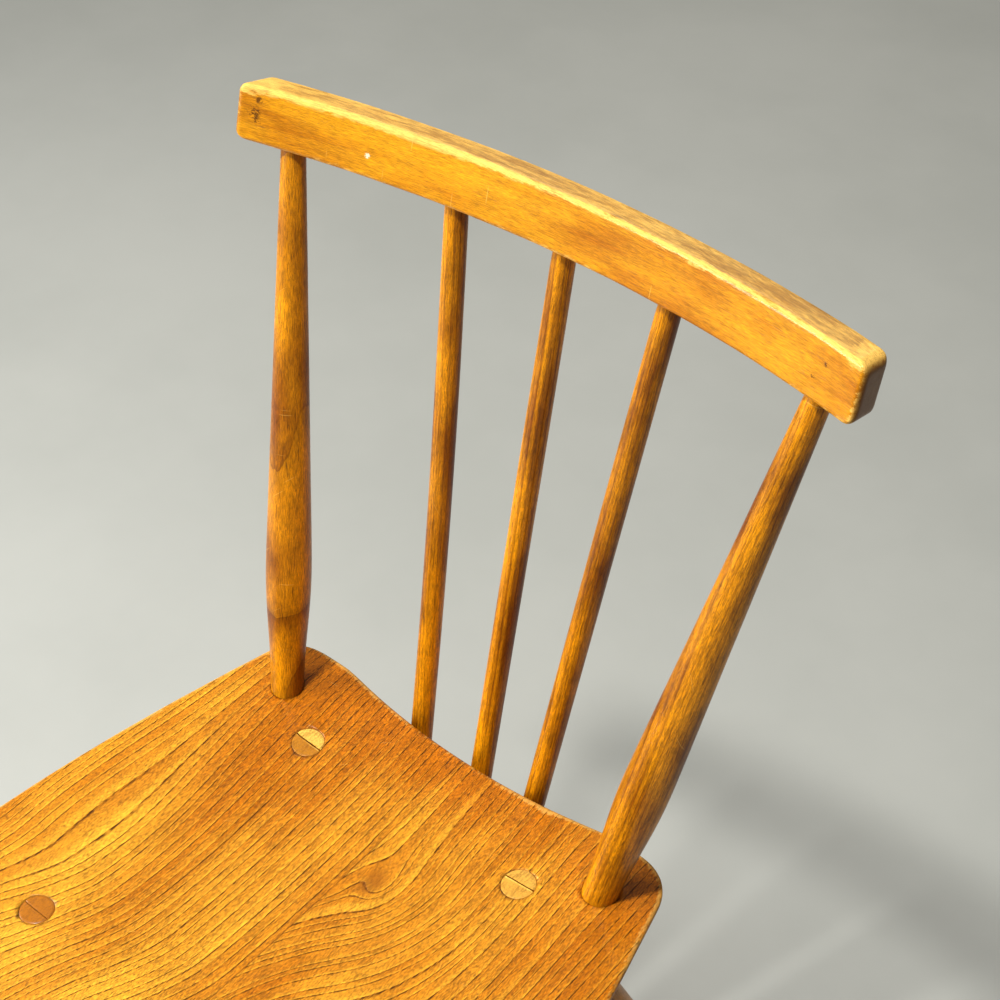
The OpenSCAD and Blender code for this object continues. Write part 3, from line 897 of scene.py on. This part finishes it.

# %% [markdown]
# ## The elm seat
#
# The seat is glued up from two boards that meet on the middle line. The left board ripples round a
# swelling of the trunk; the right one leans towards the front and wraps round a small knot. Colour
# comes in layers: honey wood with a tone for each ring, darker spring lines broken into dashes of
# pores, soft golden patches that are partly the board's figure and partly painted sheen, a darker
# patch, painted shade towards the back and the right edge, pale worn edges and a little grime round
# the joints. The same masks drive the height, so that the pores are real hollows for the light.

# %% Elm material
def new_material(name):
    """A material with an empty node tree, its Principled shader, and its output joined up."""
    material = bpy.data.materials.new(name)
    material.use_nodes = True
    tree = material.node_tree
    tree.nodes.clear()
    shader = put(tree, "BsdfPrincipled")
    ending = put(tree, "OutputMaterial")
    tree.links.new(shader.outputs[0], ending.inputs[0])
    return material, tree, shader


def finish_shader(tree, shader, colour, rough, height, coat, coat_rough=0.12):
    """Feeds the shader; height is in metres."""
    bump = put(tree, "Bump", {"Height": height, "Distance": 1.0, "Strength": 1.0})
    fill(tree, shader, {"Base Color": colour, "Roughness": rough, "Normal": bump.outputs[0],
                        "Coat Weight": coat, "Coat Roughness": coat_rough,
                        "Specular IOR Level": 0.22})


def attribute(tree, name):
    made = put(tree, "Attribute", attribute_name=name)
    return made.outputs["Fac" if name == "edge" else "Vector"]


def coat_with(piece, *materials):
    piece.data.materials.clear()
    for material in materials:
        piece.data.materials.append(material)


SPRING_LINE = (0.06, 0.015, 0.0005, 1)
OTHER_TREE = 0.4                       # takes the right board from far away in the rings
elm, tree, shader = new_material("golden_elm")
place = attribute(tree, "grain")
xyz = put(tree, "SeparateXYZ", {0: place}).outputs


def spot(x, y, wide, long, push=0.0):
    """Figure round a spot of the seat; y is measured from the line of the posts."""
    return use(tree, figure_group, place, Middle=(x, 0, y), Reach=(wide, 1, long), Push=push)


# Which ring a place lies in: the distance across the rings on each of the two boards.
ripple = spot(-0.137, -0.150, 0.030, 0.062, 0.62)
lean_front = ramp(tree, xyz[2], -0.17, -0.28, 0.0, 0.026)
left_across = weighted(tree, xyz[0], (ripple["Shift"], -1.0), (lean_front, 1.0))
sway = calc(tree, "MULTIPLY", ramp(tree, xyz[2], -0.050, -0.200, 0.0, 0.056),
            ramp(tree, xyz[0], 0.02, 0.125, 1.0, 0.0))
knot = spot(0.0155, -0.074, 0.008, 0.012, 0.85)
swirl = spot(0.010, -0.078, 0.022, 0.030, 0.45)
pushed = calc(tree, "ADD", knot["Shift"], swirl["Shift"])
right_across = weighted(tree, xyz[0], (sway, 1.0), (pushed, -1.0), (OTHER_TREE, 1.0))
on_right = calc(tree, "GREATER_THAN", xyz[0], 0.0)
across = put(tree, "Mix", {0: on_right, 2: left_across, 3: right_across}).outputs[0]
across = weighted(tree, across, (xyz[1], 0.7))

rings = use(tree, rings_group, place, Across=across, Width=0.0052, Ragged=0.0014)
fine = use(tree, pores_group, place, Length=0.0042, Breadth=0.00042, Amount=0.50)["Pores"]
dashes = use(tree, pores_group, place, Length=0.0075, Breadth=0.0007, Amount=0.74)["Pores"]
broken = calc(tree, "MULTIPLY", rings["Line"], dashes)
seam = calc(tree, "SUBTRACT", 1.0, ramp(tree, calc(tree, "ABSOLUTE", xyz[0]), 0.0001, 0.0006))
worn = use(tree, wear_group, place, Edge=attribute(tree, "edge"), Wear=0.42)["Worn"]
scuffs = use(tree, scuff_group, place, Amount=0.25)["Scuffs"]
grime = 0.0
for node, radius in [("post_left", 10.5), ("post_right", 10.5)] + [(n, 9.8) for n in leg_names]:
    at = at_height(node, RIM)
    ring = use(tree, grime_group, place, Middle=(at.x, 0, at.y - POST_Y), Radius=radius * MM,
               Spread=0.8 * MM)["Grime"]
    grime = calc(tree, "MAXIMUM", grime, ring)

# Tone, as weights: the ring's own; golden patches that are partly the board's figure and partly
# painted sheen;
# a darker patch; late wood; painted shade towards the back and the right edge.
cloud = calc(tree, "SUBTRACT", blotches(tree, place, (16, 16, 6), 3), 0.02)
tone = weighted(tree, cloud, (rings["Tone"], 0.16),
                # golden patches: partly the figure's own colour, partly painted sheen
                (spot(-0.118, -0.130, 0.017, 0.055)["Mask"], 0.36),
                (spot(-0.060, -0.235, 0.055, 0.055)["Mask"], 0.16),
                (spot(-0.090, -0.045, 0.040, 0.040)["Mask"], -0.22),
                # painted shade: darker towards the back and towards the right edge
                (rings["Late"], 0.24), (ramp(tree, xyz[2], -0.03, 0.03), -0.30),
                (ramp(tree, xyz[0], 0.11, 0.17), -0.16))
wood = blend_colours(tree, ramp(tree, tone, 0.18, 1.15), (0.44, 0.125, 0.001, 1),
                     (0.85, 0.43, 0.032, 1))
grit = use(tree, grit_group, place, Length=0.0024, Breadth=0.0005, Depth=0.50)["Shade"]
wood = paint_over(tree, shade_colour(tree, grit, wood),
                  (rings["Line"], 0.42, (0.30, 0.09, 0.002, 1)), (broken, 0.97, SPRING_LINE),
                  (fine, 0.38, SPRING_LINE),
                  (ramp(tree, knot["Mask"], 0.55, 0.95), 0.6, (0.24, 0.07, 0.004, 1)),
                  (seam, 0.55, SPRING_LINE), (worn, 0.55, (0.80, 0.44, 0.09, 1)),
                  (grime, 0.7, (0.08, 0.025, 0.003, 1)), (scuffs, 0.35, (0.85, 0.52, 0.14, 1)))
rough = weighted(tree, 0.33, (fine, 0.25), (worn, 0.2),
                 (blotches(tree, place, (60, 60, 30), 3), 0.16))
low = weighted(tree, 0.0, (broken, -0.35 * MM), (fine, -0.14 * MM), (rings["Line"], -0.10 * MM),
               (seam, -0.10 * MM), (blotches(tree, place, (900, 900, 120), 2), 0.04 * MM))
finish_shader(tree, shader, wood, rough, low, 0.12, 0.16)
coat_with(seat, elm)
settle(seat, "seat_elm", "seat")

# %% [markdown]
# ## Beech for the rail, the sticks and the legs
#
# Beech is plainer than elm: faint rings, a soft mottle under the varnish, and the short dark flecks
# that tell beech from most other woods. One function builds the material from the shared groups,
# and each part of the chair gives it its own colours and values. The rail has the palest wood and
# the most wear, and the sticks are deep orange brown.

# %% Beech materials
BARE = (0.92, 0.56, 0.12, 1)           # wood that has lost its varnish
SOOT = (0.13, 0.045, 0.004, 1)
DENT, CHIP = (0.07, 0.020, 0.001, 1), (0.90, 0.80, 0.60, 1)


def beech(name, dark, light, fleck, wear=0.4, figure=0.5, flecks=0.42, slope=0.014, grit=0.36,
          top=None, ends=(), marks=()):
    """A varnished beech. Above the height `top` it is weathered, soot gathers at the ends, which
    are distances along the piece, and each mark is (place, size, colour)."""
    material, tree, shader = new_material(name)
    place = attribute(tree, "grain")
    xyz = put(tree, "SeparateXYZ", {0: place}).outputs
    flat = put(tree, "CombineXYZ", {0: xyz[0], 1: xyz[1]}).outputs[0]
    wave = calc(tree, "SUBTRACT", blotches(tree, place, (12, 12, 4), 1), 0.5)
    across = weighted(tree, vector_calc(tree, "LENGTH", flat), (xyz[2], slope), (wave, 0.006))
    rings = use(tree, rings_group, place, Across=across, Width=0.0026, Ragged=0.0006)
    short = use(tree, pores_group, place, Length=0.0016, Breadth=0.00034, Amount=flecks)["Pores"]
    streaks = use(tree, pores_group, place, Length=0.016, Breadth=0.0007,
                  Amount=flecks * 0.8)["Pores"]
    worn = use(tree, wear_group, place, Edge=attribute(tree, "edge"), Wear=wear)["Worn"]
    scuffs = use(tree, scuff_group, place, Amount=0.2)["Scuffs"]
    shade = use(tree, grit_group, place, Length=0.0060, Breadth=0.0004, Depth=grit)["Shade"]

    tone = weighted(tree, blotches(tree, place, (45, 45, 14), 3),
                    (rings["Tone"], 0.25 * figure), (rings["Late"], -0.22 * figure))
    wood = blend_colours(tree, ramp(tree, tone, 0.25, 0.72), dark, light)
    layers = [(rings["Line"], 0.5 * figure, fleck), (short, 0.38, fleck), (streaks, 0.6, fleck)]
    if top is not None:
        patches = ramp(tree, blotches(tree, place, (150, 150, 34), 5, 0.75), 0.36, 0.62)
        weathered = blend_colours(tree, patches, (0.36, 0.18, 0.020, 1), (0.80, 0.48, 0.085, 1))
        layers.append((ramp(tree, xyz[1], top - 2.5 * MM, top - 0.5 * MM), 0.72,
                       shade_colour(tree, shade, weathered)))
    layers += [(worn, 0.75, shade_colour(tree, shade, BARE)), (scuffs, 0.35, BARE)]
    for end in ends:
        far = calc(tree, "ABSOLUTE", calc(tree, "SUBTRACT", xyz[2], end))
        layers.append((ramp(tree, far, 0.0, 3.6 * MM, 1.0, 0.0), 0.85, SOOT))
    for middle, size, paint in marks:
        near = use(tree, figure_group, place, Middle=middle, Push=0.0,
                   Reach=(4 * MM, size, size))["Mask"]
        chipped = ramp(tree, blotches(tree, place, (700, 700, 450), 3, 0.7), 0.44, 0.54)
        layers.append((calc(tree, "MULTIPLY", ramp(tree, near, 0.45, 0.8), chipped), 0.85, paint))
    wood = paint_over(tree, shade_colour(tree, shade, wood), *layers)
    rough = weighted(tree, 0.30, (short, 0.2), (worn, 0.28),
                     (blotches(tree, place, (80, 80, 40), 3), 0.14))
    low = weighted(tree, 0.0, (short, -0.06 * MM), (streaks, -0.04 * MM),
                   (blotches(tree, place, (260, 260, 60), 3), 0.10 * MM))
    finish_shader(tree, shader, wood, rough, low, 0.2, 0.10)
    return material


# Marks on the rail's front: height and run along the rail, and size, in millimetres.
RAIL_MARKS = [((-rail_t / 2, height * MM, run_at * MM), size * MM, paint)
              for height, run_at, size, paint in
              ((1.5, -188.5, 3.8, DENT), (8.5, -186.0, 2.0, DENT), (-3.0, -186.0, 2.2, DENT),
               (-4.0, 170.0, 1.6, DENT), (5.0, 176.0, 1.5, DENT), (-3.5, -119.5, 1.6, CHIP))]
rail_wood = beech("honey_beech", (0.40, 0.130, 0.000, 1), (0.66, 0.29, 0.005, 1),
                  (0.18, 0.050, 0.001, 1), wear=0.75, figure=0.25, flecks=0.30, slope=0.01,
                  top=rail_h / 2, ends=(-RAIL_RUN, RAIL_RUN), marks=RAIL_MARKS)
back_wood = beech("orange_beech", (0.18, 0.045, 0.000, 1), (0.72, 0.28, 0.002, 1),
                  (0.05, 0.012, 0.000, 1), flecks=0.46, grit=0.44)
leg_wood = beech("leg_beech", (0.24, 0.064, 0.000, 1), (0.74, 0.30, 0.004, 1),
                 (0.06, 0.015, 0.000, 1))
coat_with(rail, rail_wood)
settle(rail, "rail_beech", "top_rail")
for node in back_sticks:
    coat_with(sticks[node], back_wood)

# %% [markdown]
# ## End grain
#
# A tenon's end shows the wood cut straight across: small dots instead of lines, and fine rays. Every
# end has taken the varnish differently, so each gets its own two tones, one on either side of its
# wedge. The faces of the end are found by their direction and their height, and given the material.

# %% End grain for tenons and wedges
def end_grain(name, upper, lower, spot):
    """Wood cut straight across, with its own tone on each side of the wedge."""
    material, tree, shader = new_material(name)
    place = attribute(tree, "local")
    side = put(tree, "SeparateXYZ", {0: place}).outputs[1]
    wood = blend_colours(tree, calc(tree, "GREATER_THAN", side, 0.0), lower, upper)
    dots = use(tree, pores_group, place, Length=0.0006, Breadth=0.0006, Amount=0.55)["Pores"]
    rays = ramp(tree, blotches(tree, place, (1500, 250, 40), 2), 0.45, 0.7)
    wood = paint_over(tree, wood, (dots, 0.45, spot), (rays, 0.5, spot))
    finish_shader(tree, shader, wood, weighted(tree, 0.38, (dots, 0.2)),
                  weighted(tree, 0.0, (dots, -0.08 * MM)), 0.2, 0.2)
    return material


PALE, TAN, RUSSET = (0.86, 0.52, 0.09, 1), (0.48, 0.19, 0.012, 1), (0.42, 0.14, 0.006, 1)
DOT = (0.16, 0.05, 0.004, 1)
end_woods = {"leg_front_left": end_grain("end_front_left", RUSSET, RUSSET, DOT),
             "leg_front_right": end_grain("end_front_right", TAN, TAN, DOT),
             "leg_rear_left": end_grain("end_rear_left", PALE, TAN, DOT),
             "leg_rear_right": end_grain("end_rear_right", (0.74, 0.40, 0.06, 1),
                                         (0.72, 0.37, 0.05, 1), DOT)}
for node in leg_names:
    leg = sticks[node]
    coat_with(leg, leg_wood, end_woods[node])
    top = max(v.co.z for v in leg.data.vertices)
    for face in leg.data.polygons:
        if face.normal.z > 0.7 and face.center.z > top - 8 * MM:
            face.material_index = 1
for node, stick in sticks.items():
    if not stick.data.materials:
        coat_with(stick, leg_wood)
    settle(stick, "back_sticks" if node in back_sticks else "legs_beech", node)
for node, wedge in wedges.items():
    if node == "leg_wedge_front_left":
        coat_with(wedge, end_woods["leg_front_left"])
    else:
        coat_with(wedge, end_grain("grain_of_" + wedge.name, PALE, PALE, TAN))
    settle(wedge, "wedge_beech", node)

# %% [markdown]
# ## Floor and light
#
# The chair stands on a plain pale floor. Three square panels light it. A small one, high in front,
# throws the crisp shadows. A wide one, low on the left, puts a long soft highlight on that side of
# every stick. A weak one behind picks out the back. A dim, warm world fills the shadows, and the
# standard view transform keeps the honey colours strong.

# %% Floor, panels and world
floor_mesh = bpy.data.meshes.new("floor")
shape = bmesh.new()
bmesh.ops.create_grid(shape, x_segments=8, y_segments=8, size=5)
shape.to_mesh(floor_mesh)
shape.free()
floor = add_object("floor", floor_mesh)
floor_paint, tree, shader = new_material("floor_paint")
place = put(tree, "TexCoord").outputs["Object"]
patches = ramp(tree, blotches(tree, place, (2.2, 2.2, 2.2), 5, 0.6), 0.3, 0.7)
paint = blend_colours(tree, patches, (0.40, 0.42, 0.41, 1), (0.44, 0.46, 0.45, 1))
finish_shader(tree, shader, paint, 0.6, calc(tree, "MULTIPLY", patches, 0.3 * MM), 0.0)
coat_with(floor, floor_paint)

AIM = Vector((0, 0.05, 0.55))          # the panels face the middle of the chair's back
panels = [("key", (-0.25, -0.60, 2.72), 0.22, 58, (1.0, 0.96, 0.88)),
          ("window", (-1.5, -1.05, 1.2), 1.0, 50, (1.0, 0.97, 0.92)),
          ("behind", (-1.05, 2.2, 1.8), 1.2, 9, (1.0, 0.93, 0.80))]
for name, at, size, power, colour in panels:
    data = bpy.data.lights.new(name, "AREA")
    data.size, data.energy, data.color = size, power, colour
    lamp = add_object(name, data)
    lamp.location = at
    lamp.rotation_euler = (AIM - Vector(at)).to_track_quat("-Z", "Y").to_euler()
bpy.context.scene.view_settings.view_transform = "Standard"
world = bpy.data.worlds.new("studio")
bpy.context.scene.world = world
world.use_nodes = True
background = world.node_tree.nodes["Background"]
fill(world.node_tree, background, {"Color": (1.0, 0.95, 0.86, 1), "Strength": 0.22})
print("panels", [name for name, *_ in panels])
